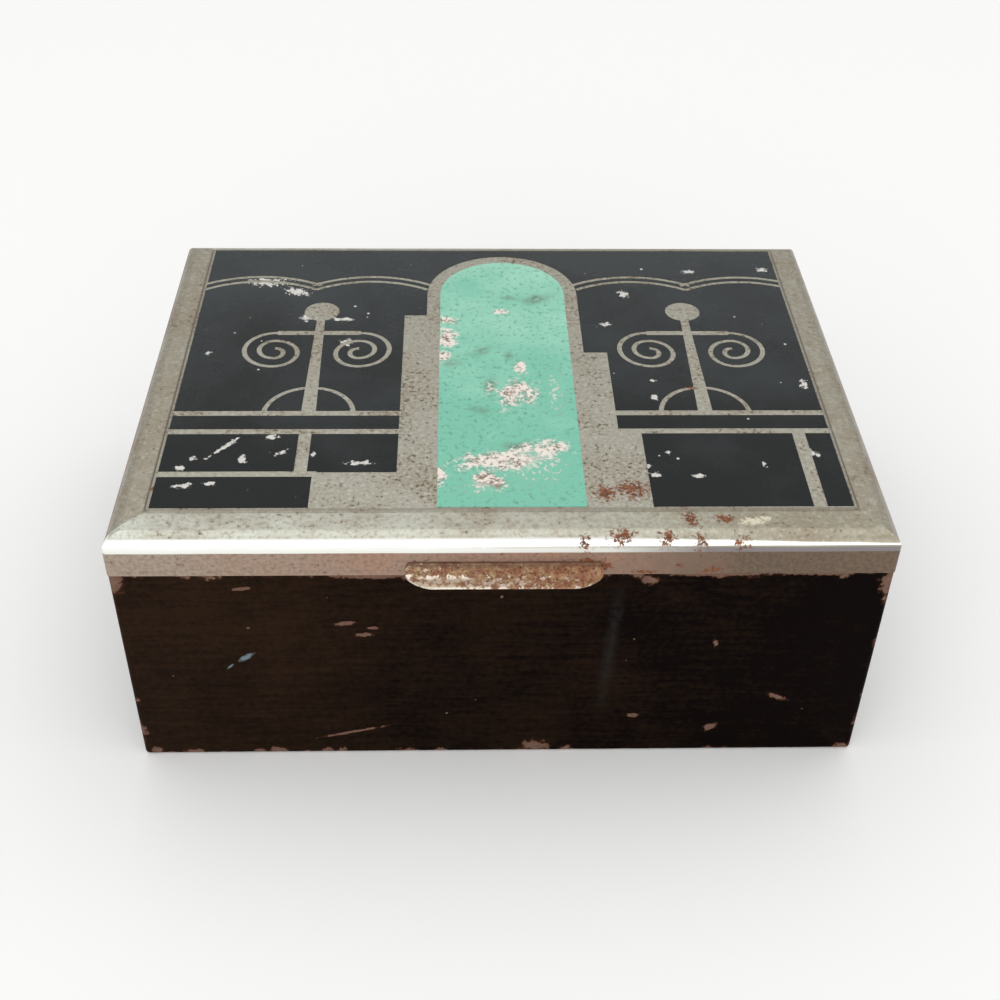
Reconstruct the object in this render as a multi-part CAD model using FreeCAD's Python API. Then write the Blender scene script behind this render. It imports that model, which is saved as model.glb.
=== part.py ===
import FreeCAD, Part
import math
import os

from FreeCAD import Vector

# A tinplate box with a hinged lid, in millimetres. +X is to the right, the front faces -Y, and the
# origin lies on the table under the middle of the box. The lid is modelled closed.

# Overall sizes
LID_WIDTH = 140.0  # left to right over the lid
LID_DEPTH = 104.0  # front to back over the lid, without the thumb lift
HEIGHT = 56.0  # table to the top of the lid's raised panel
LID_HEIGHT = 8.5  # lower edge of the skirt to the top of the raised panel

# Sheet metal
SHEET = 0.35  # tinplate of the wall, base, neck and lid
SOLDER_GAP = 0.05  # film of solder between two lapped sheets
REST_GAP = 0.15  # between the closed lid's skirt and the top of the wall
LID_PROUD = 0.15  # the lid stands out past the wall at the front and both sides
NECK_GAP = 0.4  # between the lid's skirt and the neck inside it

# Lid
LID_EDGE_R = 3.0  # rounding along the lid's top edge
LID_CORNER_R = 0.9  # outer radius of the upright corner bends
PANEL_RISE = 0.4  # raised panel above the border
PANEL_SLOPE = 0.4  # width of the slope round the panel
PANEL_FRONT = 7.7  # front face of the lid to the panel
PANEL_SIDE = 6.3  # side face of the lid to the panel
PANEL_LAND = 0.2  # flat strip between the rear rounding and the panel
PANEL_CORNER_R = 0.7
FIELD_MARGIN = 0.3  # plain rim between the slope and the field that takes the print
FIELD_SINK = 0.1  # the field lies this much below the rim, so that the print isn't rubbed

# Wall and its bottom hem
WALL_CORNER_R = 0.9  # outer radius of the upright corner bends
BEND_R = 0.8  # outer radius of the bend at the table
HEM_WIDTH = 4.0  # hem turned in under the base
SEAM_WIDTH = 4.0  # lock seam down the middle of the back
SEAM_DROP = 3.0  # the seam ends this far under the top of the back wall

# Base pan
PAN_DEPTH = 5.0  # height of its upturned flange
PAN_BEND_R = 1.2
PAN_CORNER_R = 1.8  # outer radius of its corners, which clear the wall's bends
BED_INSET = 9.0  # flange to the raised bed that stiffens the base
BED_RISE = 0.8
BED_SLOPE = 1.0
BED_CORNER_R = 4.0

# Neck
NECK_LAP = 9.0  # length soldered to the wall under the lid
NECK_HEADROOM = 0.2  # top of the neck to the start of the lid's rounding
NECK_JOGGLE = 1.0  # height of the step that draws the neck in under the lid
NECK_CORNER_R = 1.8  # outer radius of its corner bends
NECK_HEM = 2.5  # folded-in safe edge along the top
HEM_ROUND = 0.3  # rounding of that folded edge
NECK_REAR = 3.0  # hinge axis to the ends of the neck
NECK_TRIM = 3.5  # slanting trim of the ends

# Hinge
WIRE_D = 1.6
WIRE_FIT = 0.05  # running clearance round the wire
WIRE_END = 0.5  # wire standing out of the last knuckles
WIRE_CHAMFER = 0.2
LEAF_SHEET = 0.35
LEAF_INSET = 4.0  # side face of the lid to the ends of the leaves
LEAF_LAP = 9.0  # height of the leaf soldered inside the back wall
KNUCKLES = 5  # lid and box knuckles in turn, starting and ending with the lid's
KNUCKLE_GAP = 0.3
KNUCKLE_TURN = 300.0  # degrees that a knuckle is rolled round the wire
OPEN_ANGLE = 105.0  # degrees
STOP_SLACK = 1.5  # degrees past that where the skirt meets the back wall
HINGE_CLEAR = 0.3  # sheet edges that pass each other at the hinge
RELIEF_FRONT = 0.5  # the lowered rear edge starts this far ahead of the hinge axis

# Thumb lift
LIFT_SHEET = 0.45
LIFT_WIDTH = 35.0
LIFT_OUT = 3.5  # reach in front of the lid's skirt
LIFT_TOP = 2.6  # top of its soldered flange above the skirt's lower edge
LIFT_UNDER = 0.4  # underside of the lip below the skirt's lower edge
LIFT_BEND_R = 0.9  # inner radius between flange and lip
LIFT_END = 6.0  # length of each rounded end
LIFT_CORNER_R = 1.2  # rounded upper corners of the flange

# Cutting blocks run this far past the sheet that they cut
PAST = 1.0
LEVEL = 1e-6

# Places worked out from the sizes above
lid_half = LID_WIDTH / 2
body_half = lid_half - LID_PROUD
body_rear = (LID_DEPTH - LID_PROUD) / 2
body_front = -body_rear
lid_front = body_front - LID_PROUD
lid_rear = body_rear
parting = HEIGHT - LID_HEIGHT
lid_top = HEIGHT - PANEL_RISE
wall_top = parting - REST_GAP

leaf_length = LID_WIDTH - 2 * LEAF_INSET
wire_r = WIRE_D / 2
bore_r = wire_r + WIRE_FIT
knuckle_r = bore_r + LEAF_SHEET
swing = SHEET + SOLDER_GAP + knuckle_r
axis_y = body_rear - swing
axis_z = parting
stop_drop = swing * math.tan(math.radians(OPEN_ANGLE + STOP_SLACK) / 2)
rear_top = axis_z - stop_drop
open_turn = math.radians(OPEN_ANGLE)
notch_rise = (knuckle_r + HINGE_CLEAR - swing * math.cos(open_turn)) / math.sin(open_turn)
knuckle_length = (leaf_length - (KNUCKLES - 1) * KNUCKLE_GAP) / KNUCKLES


def block(half_width, front, rear, radius, low, high):
    """Upright block with rounded corners, centred left to right."""
    solid = Part.makeBox(2 * half_width, rear - front, high - low, Vector(-half_width, front, low))
    upright = [edge for edge in solid.Edges if edge.BoundBox.ZLength > (high - low) / 2]
    return solid.makeFillet(radius, upright)


def cutter(low_x, high_x, front, rear, low, high):
    """Plain block between two opposite corners."""
    return Part.makeBox(high_x - low_x, rear - front, high - low, Vector(low_x, front, low))


def round_rim(solid, height, radius):
    """Rounds the edges that lie level at one height."""
    rim = []
    for edge in solid.Edges:
        box = edge.BoundBox
        if abs(box.ZMin - height) < LEVEL and abs(box.ZMax - height) < LEVEL:
            rim.append(edge)
    return solid.makeFillet(radius, rim)


def mitred_form(half_width, front, rear, corner_r, edge_r, low, high):
    """Block with its top edges rounded along each side, so that they meet in mitres."""
    form = block(half_width, front, rear, corner_r, low, high)
    plain = cutter(-half_width, half_width, front, rear, low, high)
    top = [edge for edge in plain.Edges if edge.BoundBox.ZMin > high - LEVEL]
    for pair in (
        [edge for edge in top if edge.BoundBox.XLength > edge_r],
        [edge for edge in top if edge.BoundBox.YLength > edge_r],
    ):
        form = form.common(plain.makeFillet(edge_r, pair))
    return form.removeSplitter()


def level_outline(half_width, front, rear, radius, height):
    """Rounded rectangle lying at one height."""
    solid = block(half_width, front, rear, radius, height, height + PAST)
    lowest = min(solid.Faces, key=lambda face: face.CenterOfMass.z)
    return lowest.OuterWire


def frustum(half_width, front, rear, radius, draw_in, low, high):
    """Block whose walls lean in by draw_in between its foot and its top."""
    foot = level_outline(half_width, front, rear, radius, low)
    top = level_outline(half_width - draw_in, front + draw_in, rear - draw_in, radius - draw_in, high)
    return Part.makeLoft([foot, top], True, True)


def press_panel(pan, half_width, front, rear, radius, slope, rise, surface):
    """Presses a flat panel up out of a level sheet whose upper face is at surface."""
    inset = SHEET * math.tan(math.atan2(rise, slope) / 2)
    foot_r = radius + slope
    upper = frustum(half_width, front, rear, foot_r, slope, surface, surface + rise)
    under_half = half_width - inset
    under_low = surface - SHEET
    under = frustum(
        under_half, front + inset, rear - inset, foot_r - inset, slope, under_low, under_low + rise
    )
    return pan.fuse(upper).cut(under).removeSplitter()


def knuckle_spans(first):
    """X ranges of every second knuckle, counted from first."""
    spans = []
    for number in range(first, KNUCKLES, 2):
        low = -leaf_length / 2 + number * (knuckle_length + KNUCKLE_GAP)
        spans.append((low, low + knuckle_length))
    return spans


def body_wall():
    """Wrapped wall with a bottom hem, lowered behind the hinge, and a lock seam down its back."""
    inner_r = WALL_CORNER_R - SHEET
    inner_half = body_half - SHEET
    outer = round_rim(block(body_half, body_front, body_rear, WALL_CORNER_R, 0, wall_top), 0, BEND_R)
    hollow = block(inner_half, body_front + SHEET, body_rear - SHEET, inner_r, SHEET, wall_top + PAST)
    hollow = round_rim(hollow, SHEET, BEND_R - SHEET)
    open_half = body_half - HEM_WIDTH
    window = cutter(-open_half, open_half, body_front + HEM_WIDTH, body_rear - HEM_WIDTH, -PAST, PAST)
    reach = body_half + PAST
    relief = cutter(-reach, reach, axis_y - RELIEF_FRONT, body_rear + PAST, rear_top, wall_top + PAST)
    return outer.cut(hollow).cut(window).cut(relief).fuse(lock_seam()).removeSplitter()


def lock_seam():
    """Two hooked edges flattened against the outside of the back wall."""
    low = BEND_R
    high = rear_top - SEAM_DROP
    proud = body_rear + 2 * SHEET
    band = cutter(-SEAM_WIDTH / 2, SEAM_WIDTH / 2, body_rear - SHEET / 2, proud, low, high)
    folds = []
    for edge in band.Edges:
        box = edge.BoundBox
        if box.ZLength > SEAM_WIDTH and abs(box.YMax - proud) < LEVEL:
            folds.append(edge)
    return band.makeFillet(SHEET, folds)


def base_pan():
    """Pan with an upturned flange, dropped into the wall onto its hem, with a raised bed."""
    edge = SHEET + SOLDER_GAP
    half = body_half - edge
    front = body_front + edge
    rear = body_rear - edge
    corner = PAN_CORNER_R
    floor = 2 * SHEET
    rim = SHEET + PAN_DEPTH
    outer = round_rim(block(half, front, rear, corner, SHEET, rim), SHEET, PAN_BEND_R)
    hollow = block(half - SHEET, front + SHEET, rear - SHEET, corner - SHEET, floor, rim + PAST)
    hollow = round_rim(hollow, floor, PAN_BEND_R - SHEET)
    pan = outer.cut(hollow)
    bed_half = half - BED_INSET
    bed_front = front + BED_INSET
    bed_rear = rear - BED_INSET
    return press_panel(pan, bed_half, bed_front, bed_rear, BED_CORNER_R, BED_SLOPE, BED_RISE, floor)


def neck_form(inset, spare):
    """Solid shape of the neck, set in from its outer face and run on by spare at both ends."""
    seat = SHEET + SOLDER_GAP + inset
    draw_in = NECK_GAP - SOLDER_GAP - LID_PROUD
    half = body_half - seat
    front = body_front + seat
    rear = body_rear - seat
    corner = NECK_CORNER_R - inset
    step_low = wall_top - NECK_JOGGLE
    lower = block(half, front, rear, corner, parting - NECK_LAP - spare, step_low)
    step = frustum(half, front, rear, corner, draw_in, step_low, wall_top)
    high = lid_top - LID_EDGE_R - NECK_HEADROOM + spare
    upper = block(half - draw_in, front + draw_in, rear - draw_in, corner - draw_in, wall_top, high)
    return lower.fuse(step).fuse(upper).removeSplitter()


def neck_collar():
    """Strip soldered inside the front and sides that the closed lid fits over."""
    high = lid_top - LID_EDGE_R - NECK_HEADROOM
    inside = neck_form(SHEET, PAST)
    folded = neck_form(2 * SHEET, PAST)
    reach = body_half + PAST
    above = cutter(-reach, reach, body_front, body_rear, high - NECK_HEM, high + 2 * PAST)
    hollow = inside.cut(above).fuse(folded.common(above)).removeSplitter()
    ring = round_rim(neck_form(0, 0).cut(hollow), high, HEM_ROUND)
    end = axis_y - NECK_REAR
    low = parting - NECK_LAP - PAST
    ring = ring.cut(cutter(-reach, reach, end, body_rear + PAST, low, high + PAST))
    corner = Vector(-reach, end + PAST, high + PAST)
    ahead = Vector(-reach, end - NECK_TRIM, high + PAST)
    below = Vector(-reach, end + PAST, high - NECK_TRIM)
    trim = Part.Face(Part.makePolygon([corner, ahead, below, corner]))
    return ring.cut(trim.extrude(Vector(2 * reach, 0, 0)))


def rolled_profile(length, way):
    """Leaf sheet that runs away from the hinge axis by length and is rolled round the wire."""
    def spot(radius, turn):
        angle = math.radians(turn)
        across = radius * math.cos(angle)
        return Vector(0, axis_y + across, axis_z - way * radius * math.sin(angle))

    foot_outer = Vector(0, axis_y + knuckle_r, axis_z + way * length)
    foot_inner = Vector(0, axis_y + bore_r, axis_z + way * length)
    half_turn = KNUCKLE_TURN / 2
    edges = [
        Part.LineSegment(foot_outer, spot(knuckle_r, 0)).toShape(),
        Part.Arc(spot(knuckle_r, 0), spot(knuckle_r, half_turn), spot(knuckle_r, KNUCKLE_TURN)).toShape(),
        Part.LineSegment(spot(knuckle_r, KNUCKLE_TURN), spot(bore_r, KNUCKLE_TURN)).toShape(),
        Part.Arc(spot(bore_r, KNUCKLE_TURN), spot(bore_r, half_turn), spot(bore_r, 0)).toShape(),
        Part.LineSegment(spot(bore_r, 0), foot_inner).toShape(),
        Part.LineSegment(foot_inner, foot_outer).toShape(),
    ]
    return Part.Face(Part.Wire(edges))


def hinge_leaf(first, way, length, clear):
    """Strip soldered to one side of the hinge, with every second knuckle rolled from its edge."""
    near, far = sorted((axis_z + way * clear, axis_z + way * length))
    half = leaf_length / 2
    leaf = cutter(-half, half, axis_y + bore_r, axis_y + knuckle_r, near, far)
    profile = rolled_profile(length, way)
    for low, high in knuckle_spans(first):
        roll = profile.copy()
        roll.translate(Vector(low, 0, 0))
        leaf = leaf.fuse(roll.extrude(Vector(high - low, 0, 0)))
    return leaf.removeSplitter()


def hinge_leaf_lid():
    """Lid's leaf, inside the rear skirt as high as the rounding lets it lie flat."""
    length = lid_top - LID_EDGE_R - SOLDER_GAP - axis_z
    return hinge_leaf(0, 1, length, notch_rise)


def hinge_leaf_body():
    """Box's leaf, inside the back wall."""
    return hinge_leaf(1, -1, LEAF_LAP, stop_drop + HINGE_CLEAR)


def hinge_wire():
    """Straight wire through all the knuckles, with broken end edges."""
    length = leaf_length + 2 * WIRE_END
    wire = Part.makeCylinder(wire_r, length, Vector(-length / 2, axis_y, axis_z), Vector(1, 0, 0))
    ends = [edge for edge in wire.Edges if edge.BoundBox.XLength < LEVEL]
    return wire.makeChamfer(WIRE_CHAMFER, ends)


def lid_pan():
    """Folded lid with rounded, mitred edges and a raised panel, notched behind the box's knuckles."""
    outer = mitred_form(lid_half, lid_front, lid_rear, LID_CORNER_R, LID_EDGE_R, parting, lid_top)
    half = lid_half - SHEET
    front = lid_front + SHEET
    rear = lid_rear - SHEET
    corner = LID_CORNER_R - SHEET
    low = parting - PAST
    hollow = mitred_form(half, front, rear, corner, LID_EDGE_R - SHEET, low, lid_top - SHEET)
    shell = outer.cut(hollow)
    front = lid_front + PANEL_FRONT
    rear = lid_rear - LID_EDGE_R - PANEL_LAND
    half = lid_half - PANEL_SIDE
    lid = press_panel(shell, half, front, rear, PANEL_CORNER_R, PANEL_SLOPE, PANEL_RISE, lid_top)
    rim = PANEL_SLOPE + FIELD_MARGIN
    lid = lid.cut(cutter(rim - half, half - rim, front + rim, rear - rim, HEIGHT - FIELD_SINK, HEIGHT + PAST))
    for low, high in knuckle_spans(1):
        start = low - KNUCKLE_GAP
        end = high + KNUCKLE_GAP
        top = axis_z + notch_rise
        lid = lid.cut(cutter(start, end, axis_y, lid_rear + PAST, parting - PAST, top))
    return lid


def lift_profile():
    """Section of the thumb lift: a flange up the skirt that bends out into a lip."""
    back = lid_front - SOLDER_GAP
    face = back - LIFT_SHEET
    tip = lid_front - LIFT_OUT
    under = parting - LIFT_UNDER
    upper = under + LIFT_SHEET
    top = parting + LIFT_TOP
    outer_r = LIFT_BEND_R + LIFT_SHEET
    middle = Vector(0, face - LIFT_BEND_R, upper + LIFT_BEND_R)

    def on_bend(radius, turn):
        angle = math.radians(turn)
        return middle + Vector(0, radius * math.cos(angle), -radius * math.sin(angle))

    nose = Vector(0, tip, under + LIFT_SHEET / 2)
    lip_upper = Vector(0, tip + LIFT_SHEET / 2, upper)
    lip_under = Vector(0, tip + LIFT_SHEET / 2, under)
    edges = [
        Part.LineSegment(Vector(0, back, top), on_bend(outer_r, 0)).toShape(),
        Part.Arc(on_bend(outer_r, 0), on_bend(outer_r, 45), on_bend(outer_r, 90)).toShape(),
        Part.LineSegment(on_bend(outer_r, 90), lip_under).toShape(),
        Part.Arc(lip_under, nose, lip_upper).toShape(),
        Part.LineSegment(lip_upper, on_bend(LIFT_BEND_R, 90)).toShape(),
        Part.Arc(on_bend(LIFT_BEND_R, 90), on_bend(LIFT_BEND_R, 45), on_bend(LIFT_BEND_R, 0)).toShape(),
        Part.LineSegment(on_bend(LIFT_BEND_R, 0), Vector(0, face, top)).toShape(),
        Part.LineSegment(Vector(0, face, top), Vector(0, back, top)).toShape(),
    ]
    return Part.Face(Part.Wire(edges))


def lift_plan():
    """Plan of the thumb lift: straight in the middle and rounded back to the flange at both ends."""
    half = LIFT_WIDTH / 2
    straight = half - LIFT_END
    root = lid_front
    face = lid_front - SOLDER_GAP - LIFT_SHEET
    tip = lid_front - LIFT_OUT
    depth = face - tip
    end_r = (LIFT_END ** 2 + depth ** 2) / (2 * depth)
    half_sweep = math.asin(LIFT_END / end_r) / 2
    bend_x = straight + end_r * math.sin(half_sweep)
    bend_y = tip + end_r * (1 - math.cos(half_sweep))
    low = parting - LIFT_UNDER - PAST

    def spot(x, y):
        return Vector(x, y, low)

    edges = [
        Part.LineSegment(spot(-half, root), spot(half, root)).toShape(),
        Part.LineSegment(spot(half, root), spot(half, face)).toShape(),
        Part.Arc(spot(half, face), spot(bend_x, bend_y), spot(straight, tip)).toShape(),
        Part.LineSegment(spot(straight, tip), spot(-straight, tip)).toShape(),
        Part.Arc(spot(-straight, tip), spot(-bend_x, bend_y), spot(-half, face)).toShape(),
        Part.LineSegment(spot(-half, face), spot(-half, root)).toShape(),
    ]
    plan = Part.Face(Part.Wire(edges))
    return plan.extrude(Vector(0, 0, LIFT_UNDER + LIFT_TOP + 2 * PAST))


def thumb_lift():
    """Bent lip soldered to the middle of the front skirt, to open the lid with a thumb."""
    half = LIFT_WIDTH / 2
    profile = lift_profile()
    profile.translate(Vector(-half - PAST, 0, 0))
    bar = profile.extrude(Vector(LIFT_WIDTH + 2 * PAST, 0, 0))
    lift = bar.common(lift_plan())
    top = parting + LIFT_TOP
    low = parting - LIFT_UNDER - PAST
    shield = cutter(-half, half, lid_front - LIFT_OUT - PAST, lid_front + PAST, low, top)
    corners = []
    for edge in shield.Edges:
        box = edge.BoundBox
        if box.YLength > LIFT_OUT and box.ZMin > top - LEVEL:
            corners.append(edge)
    return lift.common(shield.makeFillet(LIFT_CORNER_R, corners)).removeSplitter()


PIECES = (
    body_wall,
    base_pan,
    neck_collar,
    hinge_leaf_body,
    hinge_wire,
    hinge_leaf_lid,
    lid_pan,
    thumb_lift,
)

os.makedirs("parts", exist_ok=True)
for make in PIECES:
    make().exportStep(os.path.join("parts", make.__name__ + ".step"))
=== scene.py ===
import math

import bmesh
import bpy
from mathutils import Matrix


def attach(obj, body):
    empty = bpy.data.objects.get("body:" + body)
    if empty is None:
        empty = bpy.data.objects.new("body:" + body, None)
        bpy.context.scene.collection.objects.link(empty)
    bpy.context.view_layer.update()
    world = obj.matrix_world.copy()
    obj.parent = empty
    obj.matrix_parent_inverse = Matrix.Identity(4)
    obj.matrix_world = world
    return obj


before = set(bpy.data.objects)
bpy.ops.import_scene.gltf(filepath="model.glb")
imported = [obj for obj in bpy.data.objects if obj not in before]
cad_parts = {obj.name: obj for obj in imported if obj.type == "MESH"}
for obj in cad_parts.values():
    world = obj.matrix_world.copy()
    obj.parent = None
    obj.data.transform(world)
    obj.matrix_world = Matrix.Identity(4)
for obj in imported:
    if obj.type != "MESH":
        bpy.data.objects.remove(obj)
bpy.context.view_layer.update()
bpy.context.scene.view_settings.view_transform = "Standard"


# Body wall: one strip of tinplate, bent round the four sides and locked in a seam at the back.
# The outside is japanned, which is a black-brown varnish that was baked on; the inside is bare
# tin. Knocks have chipped the varnish along the edges, down to dull metal with a little rust.

# Lengths are in millimetres, here and in the sections that follow, up to the floor.
BODY_HALF_WIDTH = 69.85
BODY_HALF_DEPTH = 51.925
WALL_TOP = 47.35
JAPAN_BLACK = "060100"
JAPAN_BROWN = "27190e"
CHIPPED_METAL = "8b6f61"
CHIP_RUST = "45291c"
DULL_HAZE = "2a2826"
BLUE_SCUFF = "78878f"
PLAIN_TIN = "aaa89d"
TIN_STAIN = "857a68"
CHIP_GRAIN = 1.1
KNOCK_SIZE = 3.2
PIN_SPACING = 5.0
JAPAN_CLOUD = 26
FRONT_MARK_DEPTH = 3
# The varnish's flow lines: their size along x, y and z.
FLOW_LINES = (11, 11, 0.9)
# Chips on the front, in millimetres: x, z, half length, half height, and degrees turned.
FRONT_CHIPS = [
    (-69.2, 46.0, 1.7, 2.6, 0), (69.3, 45.4, 1.5, 2.6, 0), (26.2, 46.0, 1.4, 1.0, 0),
    (38.5, 47.3, 9.5, 0.5, 0), (58.0, 47.3, 5.0, 0.4, 0), (-24.2, 47.1, 5.0, 0.6, 0),
    (-28.8, 35.5, 1.9, 0.45, 5), (-23.8, 34.3, 1.1, 0.3, 0), (-25.4, 32.6, 1.5, 0.45, 5),
    (-28.5, 6.2, 5.6, 0.3, 14), (6.8, 1.7, 2.3, 1.4, 0), (-67.3, 1.1, 1.2, 0.8, 0),
    (-59.9, 0.7, 1.9, 0.7, 0), (-47.3, 0.7, 1.0, 0.6, 0), (-43.5, 1.0, 1.6, 0.8, 0),
    (-34.1, 0.8, 1.0, 0.6, 0), (12.9, 0.7, 1.1, 0.8, 0), (68.2, 0.8, 1.4, 0.9, 0),
    (53.0, 15.3, 1.8, 0.55, -25), (40.9, 6.8, 1.2, 0.8, 35), (25.5, 10.3, 1.1, 0.55, 0),
    (39.6, 29.9, 0.45, 1.0, 10), (-46.8, 44.2, 1.5, 0.35, 5),
]
FRONT_SCUFFS = [(-47.5, 26.9, 2.3, 0.7, 38), (-50.6, 24.6, 1.1, 0.3, 45)]
FRONT_SMUDGE = [(20.0, 28.0, 1.8, 22.0, -3.3)]


def linear(code):
    """A six-digit sRGB colour as linear light."""
    parts = [int(code[i:i + 2], 16) / 255 for i in (0, 2, 4)]
    return [p / 12.92 if p <= 0.04045 else ((p + 0.055) / 1.055) ** 2.4 for p in parts] + [1.0]


def add(tree, kind, inputs=(), out=0, **settings):
    """Adds one node with its settings, values and links, and gives one of its outputs."""
    made = tree.nodes.new("ShaderNode" + kind)
    for name, value in settings.items():
        setattr(made, name, value)
    for name, value in dict(inputs).items():
        if isinstance(value, bpy.types.NodeSocket):
            tree.links.new(value, made.inputs[name])
        else:
            made.inputs[name].default_value = value
    return made if out is None else made.outputs[out]


def new_finish(name):
    """An empty material, its node tree, and the place on the box in millimetres."""
    finish = bpy.data.materials.new(name)
    finish.use_nodes = True
    tree = finish.node_tree
    tree.nodes.clear()
    metres = add(tree, "TexCoord", out="Object")
    return finish, tree, add(tree, "VectorMath", {0: metres, "Scale": 1000}, operation="SCALE")


def outer_side(tree, mm, middle):
    """1 on faces that look away from a point inside the box, 0 on those that look towards it."""
    facing = add(tree, "TexCoord", out="Normal")
    arm = add(tree, "VectorMath", {0: mm, 1: middle}, operation="SUBTRACT")
    away = add(tree, "VectorMath", {0: facing, 1: arm}, out="Value", operation="DOT_PRODUCT")
    return add(tree, "Math", {0: away, 1: 0.0}, operation="GREATER_THAN")


def nearest(tree, mm, spots):
    """How far the nearest of some oval spots is: 0 at its middle, 1 at its edge."""
    near = 9.0
    for middle, reach, turn in spots:
        inside = {"Vector": mm, "Location": middle, "Rotation": turn, "Scale": reach}
        local = add(tree, "Mapping", inside, vector_type="TEXTURE")
        length = add(tree, "VectorMath", {0: local}, out="Value", operation="LENGTH")
        near = add(tree, "Math", {0: near, 1: length}, operation="MINIMUM")
    return near


def on_front(marks):
    """Marks on the front wall as ovals that reach a little way into it."""
    return [((x, -BODY_HALF_DEPTH, z), (long, FRONT_MARK_DEPTH, high),
             (0, -math.radians(turn), 0)) for x, z, long, high, turn in marks]


def put_on(node, finish):
    """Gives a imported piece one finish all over."""
    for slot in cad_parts[node].material_slots:
        slot.material = finish


# Japan is a dark brown varnish, satin where it is whole and duller with age. It shows faint
# flow lines along the strip, pale chips with a rusty edge, pinholes and a dull smudge. Its brown
# is painted lighter at the left and darker at the right, as painted light from the left.
japan, tree, mm = new_finish("aged_japan_on_tinplate")
outer = outer_side(tree, mm, (0, 0, 25))
across, along, up = add(tree, "SeparateXYZ", {0: mm}, out=None).outputs
ragged = add(tree, "TexNoise", {"Vector": mm, "Scale": 1 / CHIP_GRAIN, "Detail": 4,
                                "Roughness": 0.6})
torn = add(tree, "Math", {0: ragged, 1: 2.8, 2: nearest(tree, mm, on_front(FRONT_CHIPS))},
           operation="MULTIPLY_ADD")
chip = add(tree, "MapRange", {"Value": torn, "From Min": 2.42, "From Max": 2.22})
chip_edge = add(tree, "MapRange", {"Value": torn, "From Min": 2.75, "From Max": 2.3})

side_gap = add(tree, "Math", {0: add(tree, "Math", {0: across}, operation="ABSOLUTE"), 1: -1.0,
                              2: BODY_HALF_WIDTH}, operation="MULTIPLY_ADD")
end_gap = add(tree, "Math", {0: add(tree, "Math", {0: along}, operation="ABSOLUTE"), 1: -1.0,
                             2: BODY_HALF_DEPTH}, operation="MULTIPLY_ADD")
corner = add(tree, "Math", {0: side_gap, 1: end_gap})
rim = add(tree, "Math", {0: add(tree, "Math", {0: WALL_TOP, 1: up}, operation="SUBTRACT"), 1: up},
          operation="MINIMUM")
edge = add(tree, "Math", {0: corner, 1: rim}, operation="MINIMUM")
knocks = add(tree, "TexNoise", {"Vector": mm, "Scale": 1 / KNOCK_SIZE, "Detail": 3,
                                "Roughness": 0.6})
knocked = add(tree, "Math", {0: knocks, 1: -8.0, 2: edge}, operation="MULTIPLY_ADD")
edge_chip = add(tree, "MapRange", {"Value": knocked, "From Min": -4.2, "From Max": -4.5})
edge_rust = add(tree, "MapRange", {"Value": knocked, "From Min": -3.7, "From Max": -4.4})

pins = add(tree, "TexVoronoi", {"Vector": mm, "Scale": 1 / PIN_SPACING}, out=None)
pin_size = add(tree, "Math", {0: add(tree, "SeparateColor", {0: pins.outputs["Color"]}), 1: 0.07,
                              2: 0.088}, operation="MULTIPLY_ADD")
pin_gap = add(tree, "Math", {0: ragged, 1: 0.2, 2: pins.outputs["Distance"]},
              operation="MULTIPLY_ADD")
pinhole = add(tree, "Math", {0: pin_gap, 1: pin_size}, operation="LESS_THAN")

bare = add(tree, "Math", {0: add(tree, "Math", {0: chip, 1: edge_chip}, operation="MAXIMUM"),
                          1: pinhole}, operation="MAXIMUM")
rusty = add(tree, "Math", {0: chip_edge, 1: edge_rust}, operation="MAXIMUM")

cloud = add(tree, "TexNoise", {"Vector": mm, "Scale": 1 / JAPAN_CLOUD, "Detail": 5,
                               "Roughness": 0.65})
strip = add(tree, "Mapping", {"Vector": mm, "Scale": [1 / size for size in FLOW_LINES]})
flow = add(tree, "TexNoise", {"Vector": strip, "Scale": 1.0, "Detail": 4, "Roughness": 0.7})
shade = add(tree, "Math", {0: flow, 1: 0.8, 2: cloud}, operation="MULTIPLY_ADD")
mottled = add(tree, "Math", {0: ragged, 1: 0.7, 2: shade}, operation="MULTIPLY_ADD")
# Painted light: over its random mottling, the varnish is painted lighter brown at the left and
# darker at the right, as light falls from the left.
mottle_and_left_light = add(tree, "Math", {0: across, 1: -0.0042, 2: mottled}, operation="MULTIPLY_ADD")
brown = add(tree, "MapRange", {"Value": mottle_and_left_light, "From Min": 1.05, "From Max": 1.65})
varnish = add(tree, "Mix", {0: brown, 6: linear(JAPAN_BLACK), 7: linear(JAPAN_BROWN)}, out=2,
              data_type="RGBA")

smudge = add(tree, "Math", {0: ragged, 1: 2.4, 2: nearest(tree, mm, on_front(FRONT_SMUDGE))},
             operation="MULTIPLY_ADD")
smudged = add(tree, "MapRange", {"Value": smudge, "From Min": 2.1, "From Max": 1.1, "To Max": 0.6})
hazed = add(tree, "Mix", {0: smudged, 6: varnish, 7: linear(DULL_HAZE)}, out=2, data_type="RGBA")
scuff = add(tree, "Math", {0: ragged, 1: 1.4, 2: nearest(tree, mm, on_front(FRONT_SCUFFS))},
            operation="MULTIPLY_ADD")
scuffed = add(tree, "MapRange", {"Value": scuff, "From Min": 1.6, "From Max": 1.1, "To Max": 0.75})
scraped = add(tree, "Mix", {0: scuffed, 6: hazed, 7: linear(BLUE_SCUFF)}, out=2, data_type="RGBA")
rusted = add(tree, "Mix", {0: rusty, 6: scraped, 7: linear(CHIP_RUST)}, out=2, data_type="RGBA")
chip_tint = add(tree, "Mix", {0: ragged, 6: linear(CHIP_RUST), 7: linear(CHIPPED_METAL)}, out=2,
                data_type="RGBA")
worn = add(tree, "Mix", {0: bare, 6: rusted, 7: chip_tint}, out=2, data_type="RGBA")

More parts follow.
